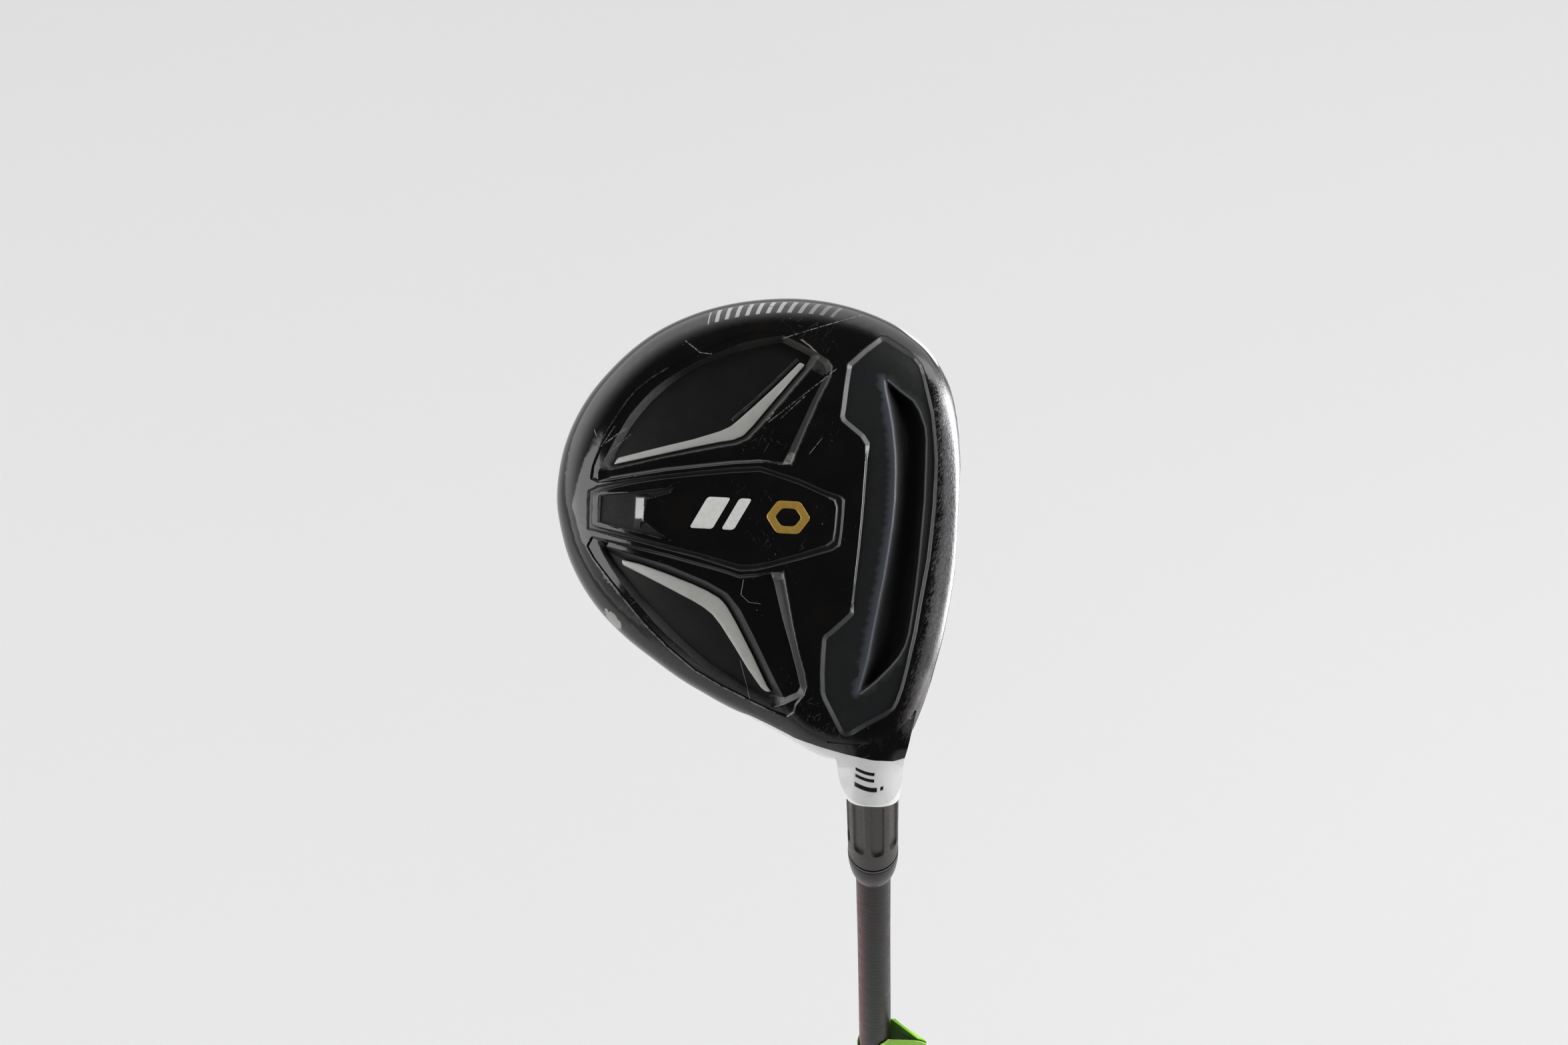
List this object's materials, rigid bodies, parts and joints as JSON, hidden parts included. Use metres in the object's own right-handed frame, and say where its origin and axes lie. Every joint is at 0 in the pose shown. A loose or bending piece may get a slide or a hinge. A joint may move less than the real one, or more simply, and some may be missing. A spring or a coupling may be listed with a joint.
{
  "type": "fairway wood",
  "caption": "Right-handed 15 degree fairway wood with hollow steel head, fluted hosel, tapered graphite shaft, ferrule and rubber grip.",
  "frame": {"origin": "centre of the butt end of the grip, on the shaft axis", "axes": "+Z along the shaft from the grip to the head, +X the way the face looks (target), -Y the side the sole turns to"},
  "size_m": [0.0927, 0.1088, 1.1451],
  "materials": {
    "head_black_paint": "gloss",
    "face_steel": "satin",
    "crown_lacquer": "gloss",
    "badge_silver": "satin",
    "white_enamel": "gloss",
    "gold_enamel": "satin",
    "hot_melt_glue": "satin",
    "plug_plastic": "matte",
    "ferrule_plastic": "gloss",
    "shaft_graphite": "satin",
    "tip_brass": "satin",
    "grip_tape_paper": "matte",
    "grip_rubber": "matte",
    "label_paper": "satin"
  },
  "bodies": {
    "root": {"head_body": "head_black_paint", "face_plate": "face_steel", "crown_shell": "crown_lacquer", "toe_chevron_badge": "badge_silver", "heel_chevron_badge": "badge_silver", "sole_inlay_wide": "white_enamel", "sole_inlay_narrow": "white_enamel", "sole_inlay_gold": "gold_enamel", "hot_melt_blob": "hot_melt_glue", "bore_plug": "plug_plastic", "ferrule": "ferrule_plastic", "shaft": "shaft_graphite", "tip_weight": "tip_brass", "grip_tape": "grip_tape_paper", "grip_sleeve": "grip_rubber", "grip_cap": "grip_rubber", "shaft_label": "label_paper"}
  },
  "joints": []
}
